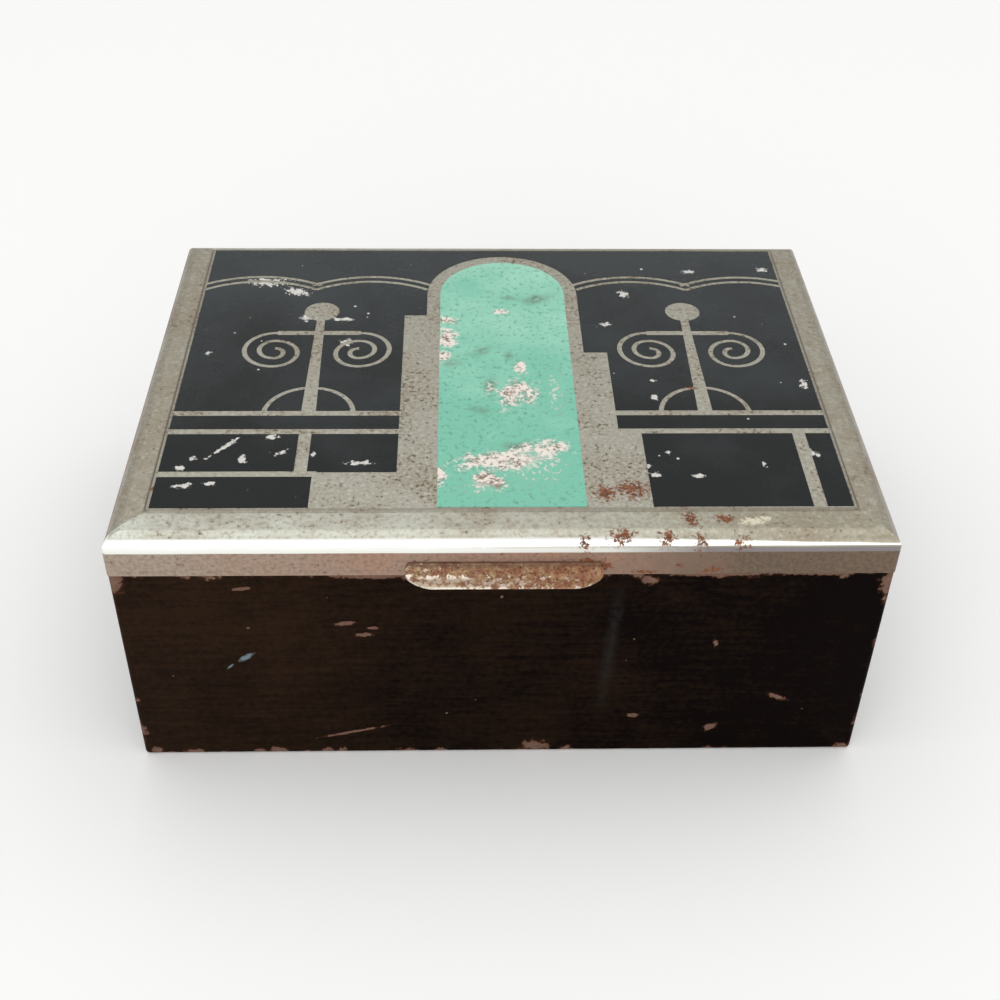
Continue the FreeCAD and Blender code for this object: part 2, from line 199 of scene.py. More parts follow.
stain = add(tree, "MapRange", {"Value": cloud, "From Min": 0.45, "From Max": 0.75})
inner_tin = add(tree, "Mix", {0: stain, 6: linear(PLAIN_TIN), 7: linear(TIN_STAIN)}, out=2,
                data_type="RGBA")
colour = add(tree, "Mix", {0: outer, 6: inner_tin, 7: worn}, out=2, data_type="RGBA")
metal = add(tree, "Math", {0: 1.0, 1: outer}, operation="SUBTRACT")
dullness = add(tree, "MapRange", {"Value": shade, "From Min": 0.6, "From Max": 1.4, "To Min": 0.45,
                                  "To Max": 0.65})
relief = add(tree, "Bump", {"Height": ragged, "Distance": 0.000012, "Strength": 1.0})
shader = add(tree, "BsdfPrincipled", {"Base Color": colour, "Metallic": metal,
                                      "Roughness": dullness, "Normal": relief, "IOR": 1.5,
                                      "Specular IOR Level": 0.03})
add(tree, "OutputMaterial", {"Surface": shader}, out=None)
put_on("body_wall", japan)


# Base pan: a pressed tinplate bottom with an upturned flange, dropped in on the wall's hem.
# It was never varnished, so both its faces are bare tin, dulled and freckled with age.
FRECKLE_RUST = "7a4c30"
TIN_CLOUD = 18
TIN_GRAIN = 0.6
FRECKLE_SPACING = 2.2
# Scratches: their size along, across and upwards, and how far they are turned, in radians.
SCRATCHES = (40, 0.5, 9)
SCRATCH_TURN = 0.6

# Bare tinplate keeps a soft shine. Its grey is patchy, with warm stains, fine scratches from what
# was kept in the box, and rust freckles where the tin coat has worn through.
bare_tin, tree, mm = new_finish("dulled_bare_tinplate")
cloud = add(tree, "TexNoise", {"Vector": mm, "Scale": 1 / TIN_CLOUD, "Detail": 5,
                               "Roughness": 0.65})
grain = add(tree, "TexNoise", {"Vector": mm, "Scale": 1 / TIN_GRAIN, "Detail": 2,
                               "Roughness": 0.5})
stain = add(tree, "MapRange", {"Value": cloud, "From Min": 0.42, "From Max": 0.72})
grey = add(tree, "Mix", {0: stain, 6: linear(PLAIN_TIN), 7: linear(TIN_STAIN)}, out=2,
           data_type="RGBA")
pits = add(tree, "TexVoronoi", {"Vector": mm, "Scale": 1 / FRECKLE_SPACING}, out="Distance")
pitted = add(tree, "Math", {0: cloud, 1: -0.42, 2: pits}, operation="MULTIPLY_ADD")
freckle = add(tree, "MapRange", {"Value": pitted, "From Min": -0.1, "From Max": -0.16})
freckled = add(tree, "Mix", {0: freckle, 6: grey, 7: linear(FRECKLE_RUST)}, out=2,
               data_type="RGBA")
drawn = add(tree, "Mapping", {"Vector": mm, "Rotation": (0, 0, SCRATCH_TURN),
                              "Scale": [1 / size for size in SCRATCHES]})
scratch = add(tree, "TexNoise", {"Vector": drawn, "Scale": 1.0, "Detail": 3, "Roughness": 0.7})
sheen = add(tree, "MapRange", {"Value": scratch, "From Min": 0.3, "From Max": 0.7, "To Min": 0.3,
                               "To Max": 0.5})
metal = add(tree, "MapRange", {"Value": freckle, "To Min": 1.0, "To Max": 0.2})
skin = add(tree, "Math", {0: add(tree, "Math", {0: scratch, 1: 0.008}, operation="MULTIPLY"),
                          1: add(tree, "Math", {0: grain, 1: 0.006}, operation="MULTIPLY")})
relief = add(tree, "Bump", {"Height": skin, "Distance": 0.001, "Strength": 1.0})
shader = add(tree, "BsdfPrincipled", {"Base Color": freckled, "Metallic": metal,
                                      "Roughness": sheen, "Normal": relief})
add(tree, "OutputMaterial", {"Surface": shader}, out=None)
put_on("base_pan", bare_tin)


# Neck collar: a tinplate strip soldered inside the front and the two sides, with its top edge
# folded in. The lid slides over it, so it is the same bare tin, rubbed by the lid.
put_on("neck_collar", bare_tin)


# Hinge: two tinplate leaves, soldered inside the lid and the back wall, with their knuckles rolled
# round one long steel wire. The leaves are bare tin, and the wire is darker drawn steel.
put_on("hinge_leaf_body", bare_tin)
put_on("hinge_leaf_lid", bare_tin)
WIRE_GREY = "77736b"
WIRE_RUST = "6a4630"
RUST_PATCH = 3.0

# Drawn steel wire is grey and smooth along its length, with brown rust in patches.
steel, tree, mm = new_finish("drawn_steel_wire")
patch = add(tree, "TexNoise", {"Vector": mm, "Scale": 1 / RUST_PATCH, "Detail": 4,
                               "Roughness": 0.7})
rusty = add(tree, "MapRange", {"Value": patch, "From Min": 0.5, "From Max": 0.62})
colour = add(tree, "Mix", {0: rusty, 6: linear(WIRE_GREY), 7: linear(WIRE_RUST)}, out=2,
             data_type="RGBA")
metal = add(tree, "MapRange", {"Value": rusty, "To Min": 1.0, "To Max": 0.3})
rough = add(tree, "MapRange", {"Value": rusty, "To Min": 0.32, "To Max": 0.75})
relief = add(tree, "Bump", {"Height": patch, "Distance": 0.00003, "Strength": 1.0})
shader = add(tree, "BsdfPrincipled", {"Base Color": colour, "Metallic": metal, "Roughness": rough,
                                      "Normal": relief})
add(tree, "OutputMaterial", {"Surface": shader}, out=None)
put_on("hinge_wire", steel)


# Lid pan: one sheet of tinplate, folded down at its four sides over rounded, mitred edges, with a
# raised panel and a sunk field for the print. Its bare tin has gone warm and spotted with age.
LID_TOP = 56.0
ROUND_FOOT = 52.65
ROUND_TOP = 55.05
CREASE_HEIGHT = 53.8
SIDE_RUST_TOP = 54.95
PANEL_MIDDLE_Y = 2.175
PANEL_HALF_WIDTH = 63.5
PANEL_HALF_DEPTH = 46.35
# The front border runs from BORDER_LEFT to BORDER_RIGHT, which is painted light from the left.
BORDER_LEFT = "c4c7bc"
BORDER_RIGHT = "9c9888"
SIDE_TIN = "9d998b"
SIDE_RUST = "7d5344"
FIELD_TIN = "a29f92"
BROWN_TIN = "8a7c68"
PALE_TIN = "c0beb4"
PIT_BROWN = "4c4033"
# The folds' near-white is rubbed tin with a painted highlight in it; the next colour is painted
# shade under their crease.
RUBBED_TIN_HIGHLIGHT = "f3f3ed"
FOLD_PAINTED_SHADE = "7d7577"
# Skirt colours, left to right: patina with a painted reflection of a brown floor in it, painted
# darker towards the right.
SKIRT_LEFT = "ab9c8d"
SKIRT_MIDDLE = "a88a7b"
SKIRT_FLUSH = "b58a72"
SKIRT_BROWN = "857262"
SKIRT_RIGHT = "6b5d50"
RUST_RED = "8d512a"
RUST_DARK = "55301a"
DRY_DUST = "e4ddc6"
PATINA_CLOUD = 14
SPECK_SIZE = 0.8
RUST_GRAIN = 0.7
LID_MARK_DEPTH = 4
# Rust on the lid's top, in millimetres: x, y, half length, half width, and degrees turned.
LID_RUST = [
    (20.7, -50.5, 2.8, 1.9, 20), (28.6, -51.1, 1.9, 1.9, 0), (33.2, -46.7, 1.7, 3.0, 15),
    (39.4, -46.4, 2.2, 1.5, 0), (18.6, -39.6, 2.6, 3.0, 0), (23.4, -38.4, 4.0, 3.2, 0),
    (34.4, -51.7, 1.7, 1.9, 0), (14.0, -52.1, 1.6, 1.9, 0), (41.5, -52.1, 2.2, 1.6, 0),
    (36.1, 1.7, 2.2, 1.3, 0), (38.0, -6.0, 1.7, 1.7, 0), (-62.8, -38.0, 1.2, 0.9, 0),
]
# Rust on the front of the skirt, in the same way: x, z, half length, half height, and degrees.
SKIRT_RUST = [
    (17.6, 49.4, 1.8, 1.9, 30), (14.6, 50.7, 2.2, 0.9, 0), (25.0, 48.1, 3.2, 0.5, 0),
    (36.6, 48.3, 3.2, 0.9, 8), (31.0, 49.6, 0.9, 0.7, 0),
]
# Dry dust on the lid's top, written like the rust on it.
LID_PALE = [(43.9, -47.3, 3.6, 1.7, 0), (46.5, -46.4, 2.0, 1.0, 0)]


def on_lid(marks):
    """Marks on the lid's top as ovals that reach a little way into it."""
    return [((x, y, LID_TOP), (long, wide, LID_MARK_DEPTH), (0, 0, math.radians(turn)))
            for x, y, long, wide, turn in marks]


# Old tinplate is a soft warm grey, speckled with dark pits and pale grains. The front and rear
# folds are rubbed tin, painted near-white with a painted highlight that narrows and dims to the
# right, where a painted shade runs along the crease and under it. The skirt and the side folds
# have a pinkish-brown patina, with a painted reflection of a brown floor in it, and rust has come
# through near the front.
tinned, tree, mm = new_finish("worn_tinplate_lid")
outer = outer_side(tree, mm, (0, 0, 30))
across, along, up = add(tree, "SeparateXYZ", {0: mm}, out=None).outputs
cloud = add(tree, "TexNoise", {"Vector": mm, "Scale": 1 / PATINA_CLOUD, "Detail": 5,
                               "Roughness": 0.65})
speck = add(tree, "TexNoise", {"Vector": mm, "Scale": 1 / SPECK_SIZE, "Detail": 3,
                               "Roughness": 0.65})

beside = add(tree, "Math", {0: add(tree, "Math", {0: across}, operation="ABSOLUTE"),
                            1: PANEL_HALF_WIDTH}, operation="SUBTRACT")
from_middle = add(tree, "Math", {0: along, 1: PANEL_MIDDLE_Y}, operation="SUBTRACT")
before = add(tree, "Math", {0: add(tree, "Math", {0: from_middle}, operation="ABSOLUTE"),
                            1: PANEL_HALF_DEPTH}, operation="SUBTRACT")
outside_panel = add(tree, "Math", {0: beside, 1: before}, operation="MAXIMUM")
border = add(tree, "MapRange", {"Value": outside_panel, "From Min": -0.15, "From Max": 0.15})
at_side = add(tree, "Math", {0: beside, 1: before}, operation="GREATER_THAN")
# Painted light: the front border is painted a lighter grey at the left and a darker one at the
# right, as light falls from the left.
rightward = add(tree, "MapRange", {"Value": across, "From Min": -65, "From Max": 60})
front_tin = add(tree, "Mix", {0: rightward, 6: linear(BORDER_LEFT), 7: linear(BORDER_RIGHT)},
                out=2, data_type="RGBA")
border_tin = add(tree, "Mix", {0: at_side, 6: front_tin, 7: linear(SIDE_TIN)}, out=2,
                 data_type="RGBA")
flat_tin = add(tree, "Mix", {0: border, 6: linear(FIELD_TIN), 7: border_tin}, out=2,
               data_type="RGBA")
patchy = add(tree, "MapRange", {"Value": cloud, "From Min": 0.45, "From Max": 0.74, "To Max": 0.7})
browned = add(tree, "Mix", {0: patchy, 6: flat_tin, 7: linear(BROWN_TIN)}, out=2, data_type="RGBA")
mealy = add(tree, "MapRange", {"Value": speck, "From Min": 0.47, "From Max": 0.66, "To Max": 0.6})
border_mealy = add(tree, "Math", {0: mealy, 1: border}, operation="MULTIPLY")
dappled = add(tree, "Mix", {0: border_mealy, 6: browned, 7: linear(BROWN_TIN)}, out=2,
              data_type="RGBA")
glint = add(tree, "MapRange", {"Value": speck, "From Min": 0.46, "From Max": 0.36, "To Max": 0.55})
glitter = add(tree, "Math", {0: border, 1: -0.2, 2: glint}, operation="MULTIPLY_ADD",
              use_clamp=True)
grained = add(tree, "Mix", {0: glitter, 6: dappled, 7: linear(PALE_TIN)}, out=2, data_type="RGBA")
clustered = add(tree, "Math", {0: cloud, 1: 0.35, 2: speck}, operation="MULTIPLY_ADD")
sparse = add(tree, "Math", {0: border, 1: -0.07, 2: clustered}, operation="MULTIPLY_ADD")
pit = add(tree, "MapRange", {"Value": sparse, "From Min": 0.75, "From Max": 0.83, "To Max": 0.8})

# A dark line along the foot of the raised panel: painted shade in its step, with dirt in it.
fold = add(tree, "Math", {0: outside_panel}, operation="ABSOLUTE")
step_grime_and_shade = add(tree, "MapRange", {"Value": fold, "From Min": 0.5, "From Max": 0.15, "To Max": 0.5})
dark = add(tree, "Math", {0: pit, 1: step_grime_and_shade}, operation="MAXIMUM")
pitted = add(tree, "Mix", {0: dark, 6: grained, 7: linear(PIT_BROWN)}, out=2, data_type="RGBA")

ragged = add(tree, "TexNoise", {"Vector": mm, "Scale": 1 / RUST_GRAIN, "Detail": 4,
                                "Roughness": 0.75})
pale_gap = add(tree, "Math", {0: ragged, 1: 3.0, 2: nearest(tree, mm, on_lid(LID_PALE))},
               operation="MULTIPLY_ADD")
pale = add(tree, "MapRange", {"Value": pale_gap, "From Min": 2.2, "From Max": 1.8, "To Max": 0.7})
dusted = add(tree, "Mix", {0: pale, 6: pitted, 7: linear(DRY_DUST)}, out=2, data_type="RGBA")

# The skirt's pinkish-brown is patina and also a painted reflection of a brown floor. It is painted
# darker towards the right, as light falls from the left.
left_part = add(tree, "MapRange", {"Value": across, "From Min": -60, "From Max": -5})
right_part = add(tree, "MapRange", {"Value": across, "From Min": 8, "From Max": 42})
skirt_start = add(tree, "Mix", {0: left_part, 6: linear(SKIRT_LEFT), 7: linear(SKIRT_MIDDLE)},
                  out=2, data_type="RGBA")
skirt_plain = add(tree, "Mix", {0: right_part, 6: skirt_start, 7: linear(SKIRT_RIGHT)}, out=2,
                  data_type="RGBA")
flush = add(tree, "MapRange", {"Value": cloud, "From Min": 0.56, "From Max": 0.4, "To Max": 0.8})
middle_part = add(tree, "Math", {0: left_part, 1: right_part}, operation="SUBTRACT",
                  use_clamp=True)
flushed = add(tree, "Math", {0: flush, 1: middle_part}, operation="MULTIPLY")
skirt_flush = add(tree, "Mix", {0: flushed, 6: skirt_plain, 7: linear(SKIRT_FLUSH)}, out=2,
                  data_type="RGBA")
mottle = add(tree, "MapRange", {"Value": speck, "From Min": 0.42, "From Max": 0.68,
                                "To Max": 0.75})
skirt = add(tree, "Mix", {0: mottle, 6: skirt_flush, 7: linear(SKIRT_BROWN)}, out=2,
            data_type="RGBA")
skirt_pitted = add(tree, "Mix", {0: pit, 6: skirt, 7: linear(PIT_BROWN)}, out=2, data_type="RGBA")

height = add(tree, "Math", {0: cloud, 1: 0.25, 2: up}, operation="MULTIPLY_ADD")
# Painted highlight: the fold's near-white band is made narrower towards the right.
taper = add(tree, "MapRange", {"Value": across, "From Min": 20, "From Max": 68, "To Max": 0.85})
band_height = add(tree, "Math", {0: height, 1: taper})
on_round = add(tree, "MapRange", {"Value": band_height, "From Min": ROUND_TOP + 0.2,
                                  "From Max": ROUND_TOP - 0.1})
on_skirt = add(tree, "MapRange", {"Value": height, "From Min": ROUND_FOOT + 0.2,
                                  "From Max": ROUND_FOOT + 0.05})
# The front and rear folds are rubbed tin, coloured near-white as a painted highlight, and made
# smoother.
rubbed_highlight = add(tree, "Math", {0: on_round, 1: at_side}, operation="SUBTRACT", use_clamp=True)
# Painted shade: a grey line along the crease in the fold and a greyer band under it, both stronger
# to the right.
crease = add(tree, "Math", {0: height, 1: CREASE_HEIGHT, 2: 0.22}, operation="COMPARE")
below = add(tree, "MapRange", {"Value": height, "From Min": CREASE_HEIGHT,
                               "From Max": CREASE_HEIGHT - 0.3, "To Max": 0.45})
crease_shade_rightward = add(tree, "MapRange", {"Value": across, "From Min": -15, "From Max": 40,
                                   "To Max": 0.9})
greyed = add(tree, "Math", {0: crease, 1: below}, operation="MAXIMUM")
creased = add(tree, "Math", {0: greyed, 1: crease_shade_rightward}, operation="MULTIPLY")
bright = add(tree, "Mix", {0: creased, 6: linear(RUBBED_TIN_HIGHLIGHT), 7: linear(BORDER_RIGHT)}, out=2,
             data_type="RGBA")
# Painted shade: below the crease, the fold turns a dull purple-grey towards its right end.
low_part = add(tree, "MapRange", {"Value": height, "From Min": CREASE_HEIGHT + 0.1,
                                  "From Max": CREASE_HEIGHT - 0.2})
right_end = add(tree, "MapRange", {"Value": across, "From Min": 18, "From Max": 36, "To Max": 0.9})
fold_shade = add(tree, "Math", {0: low_part, 1: right_end}, operation="MULTIPLY")
fold_tin = add(tree, "Mix", {0: fold_shade, 6: bright, 7: linear(FOLD_PAINTED_SHADE)}, out=2, data_type="RGBA")
rounded = add(tree, "Mix", {0: rubbed_highlight, 6: dusted, 7: fold_tin}, out=2, data_type="RGBA")
side_low = add(tree, "MapRange", {"Value": height, "From Min": SIDE_RUST_TOP,
                                  "From Max": SIDE_RUST_TOP - 0.5, "To Max": 0.75})
side_rust = add(tree, "Math", {0: side_low, 1: at_side}, operation="MULTIPLY")
edged = add(tree, "Mix", {0: side_rust, 6: rounded, 7: linear(SIDE_RUST)}, out=2, data_type="RGBA")
sided = add(tree, "Mix", {0: on_skirt, 6: edged, 7: skirt_pitted}, out=2, data_type="RGBA")

rust_spots = on_lid(LID_RUST) + on_front(SKIRT_RUST)
rust_gap = add(tree, "Math", {0: ragged, 1: 4.2, 2: nearest(tree, mm, rust_spots)},
               operation="MULTIPLY_ADD")
rust = add(tree, "MapRange", {"Value": rust_gap, "From Min": 2.96, "From Max": 2.46})
rust_shade = add(tree, "MapRange", {"Value": speck, "From Min": 0.4, "From Max": 0.62})
rust_tint = add(tree, "Mix", {0: rust_shade, 6: linear(RUST_DARK), 7: linear(RUST_RED)}, out=2,
                data_type="RGBA")
rusted = add(tree, "Mix", {0: rust, 6: sided, 7: rust_tint}, out=2, data_type="RGBA")
stain = add(tree, "MapRange", {"Value": cloud, "From Min": 0.45, "From Max": 0.75})
inner_tin = add(tree, "Mix", {0: stain, 6: linear(PLAIN_TIN), 7: linear(TIN_STAIN)}, out=2,
                data_type="RGBA")
colour = add(tree, "Mix", {0: outer, 6: inner_tin, 7: rusted}, out=2, data_type="RGBA")

metal = add(tree, "MapRange", {"Value": rust, "To Min": 1.0, "To Max": 0.1})
flat_rough = add(tree, "MapRange", {"Value": cloud, "From Min": 0.3, "From Max": 0.7,
                                    "To Min": 0.3, "To Max": 0.46})
smooth = add(tree, "Math", {0: rubbed_highlight, 1: on_skirt}, operation="SUBTRACT", use_clamp=True)
round_rough = add(tree, "Math", {0: smooth, 1: -0.16, 2: flat_rough}, operation="MULTIPLY_ADD")
rough = add(tree, "Math", {0: rust, 1: 0.4, 2: round_rough}, operation="MULTIPLY_ADD")
skin = add(tree, "Math", {0: pit, 1: -0.02, 2: add(tree, "Math", {0: speck, 1: 0.008},
                                                   operation="MULTIPLY")},
           operation="MULTIPLY_ADD")
relief = add(tree, "Bump", {"Height": skin, "Distance": 0.001, "Strength": 1.0})
shader = add(tree, "BsdfPrincipled", {"Base Color": colour, "Metallic": metal, "Roughness": rough,
                                      "Normal": relief})
add(tree, "OutputMaterial", {"Surface": shader}, out=None)
put_on("lid_pan", tinned)


# Black print: black enamel, rolled on the lid's sunk field in one thin even coat and baked. Bare
# tin is left open in it as plain ornament: stepped blocks beside the middle panel, double bars,
# and on each side a column with two scrolls and a half ring, under a scalloped edge.
ENAMEL_FOOT = 55.88
ENAMEL_TOP = 55.965
CUT_FOOT = 55.5
CUT_TOP = 56.4
FIELD_LEFT = -62.85
FIELD_RIGHT = 62.85
FIELD_FRONT = -43.5
FIELD_BACK = 47.85
PANEL_X = 1.5
PANEL_HALF = 13.4
PANEL_HEAD = 42.6
PANEL_MARGIN = 2.8
# The head's two bevels stop a hair before they would meet.
HEAD_SHARE = 0.9995
# Bare blocks, bars and posts, in millimetres: left, front, right and back.
BARE_BLOCKS = [
    (-19.4, -44.5, 0.0, 20.6), (-34.8, -44.5, 0.0, -33.3), (3.0, -44.5, 22.5, 6.3),
    (3.0, -44.5, 26.8, -21.0), (-64.0, -15.8, -19.0, -14.1), (-64.0, -21.7, -19.0, -20.0),
    (-64.0, -34.7, -34.0, -33.0), (-38.2, -34.0, -35.8, -20.5), (22.0, -15.8, 64.0, -14.1),
    (22.0, -21.7, 64.0, -20.0), (55.6, -44.5, 58.1, -20.5),
]
COLUMN_X = 38.5
COLUMN_FOOT = -15.0
COLUMN_HEAD = 22.0
COLUMN_WIDTH = 1.6
COLUMN_SPREAD = 1.8
BALL_RADIUS = 3.7
CAPITAL_Y = 13.6
CAPITAL_WIDTH = 1.7
SCROLL_REACH = 8.6
SCROLL_RADII = (6.2, 4.7, 3.2, 1.8)
RING_RADIUS = 8.6
RING_WIDTH = 1.8
SCALLOP_Y = 31.0
SCALLOP_CHORD = 24.2
SCALLOP_RISE = 3.4
SCALLOP_LINE = 1.2
SCALLOP_GAP = 2.0


def block(name, low, high):
    """A box between two corners in millimetres, with its place in its mesh."""
    bpy.ops.object.select_all(action="DESELECT")
    middle = [(a + b) / 2000 for a, b in zip(low, high)]
    size = [(b - a) / 1000 for a, b in zip(low, high)]
    bpy.ops.mesh.primitive_cube_add(size=1, location=middle, scale=size)
    made = bpy.context.object
    made.name = made.data.name = name
    bpy.ops.object.transform_apply(location=True, rotation=True, scale=True)
    return made


def pick_edges(piece, wanted):
    """Opens a piece for editing with the edges selected whose two ends, in millimetres, pass."""
    bpy.ops.object.mode_set(mode="EDIT")
    bpy.ops.mesh.select_mode(type="EDGE")
    bpy.ops.mesh.select_all(action="DESELECT")
    form = bmesh.from_edit_mesh(piece.data)
    for edge in form.edges:
        edge.select_set(wanted(*[end.co * 1000 for end in edge.verts]))
    bmesh.update_edit_mesh(piece.data)


def upright(a, b):
    """Whether an edge stands straight up."""
    return (a.xy - b.xy).length < 0.001


def round_headed(name, half, head, low, high):
    """A flat slab from the field's front to a half-round head."""
    slab = block(name, (PANEL_X - half, FIELD_FRONT - 1, low), (PANEL_X + half, head, high))
    pick_edges(slab, lambda a, b: upright(a, b) and a.y > 0)
    bpy.ops.mesh.bevel(offset=half * HEAD_SHARE / 1000, segments=32, affect="EDGES")
    bpy.ops.mesh.remove_doubles(threshold=0.00001)
    bpy.ops.object.mode_set(mode="OBJECT")
    return slab


def bent_strip(name, start, width, bends):
    """A strip with a square end across the x direction, bent round one centre after another."""
    bpy.ops.object.select_all(action="DESELECT")
    place = (start[0] / 1000, start[1] / 1000, (CUT_FOOT + CUT_TOP) / 2000)
    bpy.ops.mesh.primitive_plane_add(size=0.001, location=place,
                                     rotation=(math.pi / 2, 0, math.pi / 2),
                                     scale=(width, CUT_TOP - CUT_FOOT, 1))
    made = bpy.context.object
    made.name = made.data.name = name
    bpy.ops.object.transform_apply(location=True, rotation=True, scale=True)
    bpy.ops.object.mode_set(mode="EDIT")
    bpy.ops.mesh.select_all(action="SELECT")
    for (x, y), degrees in bends:
        bpy.ops.mesh.spin(steps=24, angle=math.radians(degrees), center=(x / 1000, y / 1000, 0),
                          axis=(0, 0, 1))
    bpy.ops.mesh.select_all(action="SELECT")
    bpy.ops.mesh.remove_doubles(threshold=0.000001)
    bpy.ops.mesh.normals_make_consistent(inside=False)
    bpy.ops.object.mode_set(mode="OBJECT")
    return made


def cut(piece, tool):
    """Cuts a tool's shape out of a piece, and takes the tool away."""
    step = piece.modifiers.new("cut", "BOOLEAN")
    step.operation = "DIFFERENCE"
    step.solver = "EXACT"
    step.object = tool
    bpy.context.view_layer.objects.active = piece
    bpy.ops.object.modifier_apply(modifier=step.name)
    bpy.data.objects.remove(tool)


black = block("lid_print_black", (FIELD_LEFT, FIELD_FRONT, ENAMEL_FOOT),
              (FIELD_RIGHT, FIELD_BACK, ENAMEL_TOP))
clear = round_headed("clear_panel", PANEL_HALF + PANEL_MARGIN, PANEL_HEAD + PANEL_MARGIN, CUT_FOOT,
                     CUT_TOP)
cut(black, clear)
for left, front, right, back in BARE_BLOCKS:
    opening = block("bare_block", (left, front, CUT_FOOT), (right, back, CUT_TOP))
    cut(black, opening)
scallop_radius = (SCALLOP_CHORD ** 2 / 4 + SCALLOP_RISE ** 2) / (2 * SCALLOP_RISE)
scallop_swing = math.degrees(math.asin(SCALLOP_CHORD / 2 / scallop_radius))
for side in (-1, 1):
    middle = PANEL_X + side * COLUMN_X
    half = COLUMN_WIDTH / 2
    column = block("column", (middle - half, COLUMN_FOOT, CUT_FOOT),
                   (middle + half, COLUMN_HEAD, CUT_TOP))
    pick_edges(column, lambda a, b: max(a.y, b.y) < COLUMN_FOOT + 0.001)
    bpy.ops.transform.resize(value=(COLUMN_SPREAD, 1, 1), center_override=(middle / 1000, 0, 0))
    bpy.ops.object.mode_set(mode="OBJECT")
    cut(black, column)
    capital = block("capital", (middle - SCROLL_REACH, CAPITAL_Y - CAPITAL_WIDTH / 2, CUT_FOOT),
                    (middle + SCROLL_REACH, CAPITAL_Y + CAPITAL_WIDTH / 2, CUT_TOP))
    cut(black, capital)
    bpy.ops.object.select_all(action="DESELECT")
    bpy.ops.mesh.primitive_cylinder_add(
        vertices=64, radius=BALL_RADIUS / 1000, depth=(CUT_TOP - CUT_FOOT) / 1000,
        location=(middle / 1000, COLUMN_HEAD / 1000, (CUT_FOOT + CUT_TOP) / 2000))
    cut(black, bpy.context.object)
    for degrees in (90, -90):
        ring = bent_strip("half_ring", (middle, COLUMN_FOOT + RING_RADIUS), RING_WIDTH,
                          [((middle, COLUMN_FOOT), degrees)])
        cut(black, ring)
    for turn in (-1, 1):
        scroll_x = middle + turn * SCROLL_REACH
        edge_y = CAPITAL_Y
        bends = []
        for step, radius in enumerate(SCROLL_RADII):
            down = 1 if step % 2 else -1
            bends.append(((scroll_x, edge_y + down * radius), turn * 180))
            edge_y += 2 * down * radius
        scroll = bent_strip("scroll", (scroll_x, CAPITAL_Y), CAPITAL_WIDTH, bends)
        cut(black, scroll)
    for place in (0.5, 1.5):
        arch_x = PANEL_X + side * (PANEL_HALF + PANEL_MARGIN + place * SCALLOP_CHORD)
        for rise in (0, SCALLOP_GAP):
            centre = (arch_x, SCALLOP_Y + SCALLOP_RISE - scallop_radius)
            crown = (arch_x, SCALLOP_Y + SCALLOP_RISE + rise)
            for turn in (-1, 1):
                arc = bent_strip("scallop", crown, SCALLOP_LINE, [(centre, turn * scallop_swing)])
                cut(black, arc)

ENAMEL_BLACK = "060b0c"
# Slate grey is painted towards the back as a painted reflection of the room.
ENAMEL_SLATE = "2f3435"
FLAKED_TIN = "f0efea"
DULL_FLAKE = "a5a096"
HAZE_CLOUD = 20
FLAKE_GRAIN = 0.9
NICK_SPACING = 3.0
# Flakes lost from the black, in millimetres: x, y, half length, half width, and degrees turned.
BLACK_FLAKES = [
    (-49.6, 34.0, 5.5, 1.8, 0), (-43.0, 30.0, 3.4, 1.5, -20), (-39.4, 19.7, 2.2, 1.7, 30),
    (-32.5, 18.9, 2.6, 0.8, 0), (-31.2, 9.8, 1.4, 1.7, 0), (-59.0, 5.9, 0.8, 0.7, 0),
    (-52.0, -26.0, 4.6, 0.45, 50), (-51.0, -24.8, 2.0, 0.7, 50), (-48.0, -29.5, 1.0, 1.3, 0),
    (-57.2, -29.2, 0.8, 0.8, 0), (-59.0, -32.2, 1.1, 0.8, 0), (-43.3, -22.6, 1.4, 0.8, 0),
    (-40.8, -27.4, 1.5, 0.6, 35), (-35.1, -28.0, 0.6, 0.9, 0), (-26.2, -30.6, 2.9, 0.7, 0),
    (-57.7, -37.3, 2.0, 0.8, 5), (-53.0, -36.7, 1.4, 0.7, 0), (22.7, 16.8, 1.5, 1.0, 0),
    (28.1, -34.3, 1.2, 0.9, 0), (26.8, -31.9, 0.7, 0.8, 0), (31.1, -27.9, 0.7, 0.8, 0),
    (58.2, -27.7, 0.8, 1.0, 0), (59.3, -28.6, 0.5, 0.8, 0), (30.6, -9.7, 0.8, 1.1, 0),
    (30.9, -4.0, 0.6, 0.7, 0), (28.0, 29.0, 1.2, 1.8, 30), (43.3, 38.8, 1.6, 1.0, 0),
    (60.1, 39.7, 1.4, 1.0, 0), (61.0, -5.5, 0.9, 1.9, 0), (36.1, -34.9, 1.4, 0.8, 0),
    (48.7, -31.4, 0.6, 0.8, 0),
]

# Baked black enamel is smooth and glossy, so it greys where it mirrors the room. Its colour is
# also painted a lighter slate towards the back, as a painted reflection of the room, mottled at
# random.
# Where it has flaked, ragged spots of pale tin show, and a fine scatter of nicks runs over the
# rest.
enamel, tree, mm = new_finish("baked_black_enamel")
cloud = add(tree, "TexNoise", {"Vector": mm, "Scale": 1 / HAZE_CLOUD, "Detail": 4,
                               "Roughness": 0.6})
ragged = add(tree, "TexNoise", {"Vector": mm, "Scale": 1 / FLAKE_GRAIN, "Detail": 4,
                                "Roughness": 0.7})
along = add(tree, "SeparateXYZ", {0: mm}, out="Y")
hazy = add(tree, "Math", {0: ragged, 1: 0.3, 2: cloud}, operation="MULTIPLY_ADD")
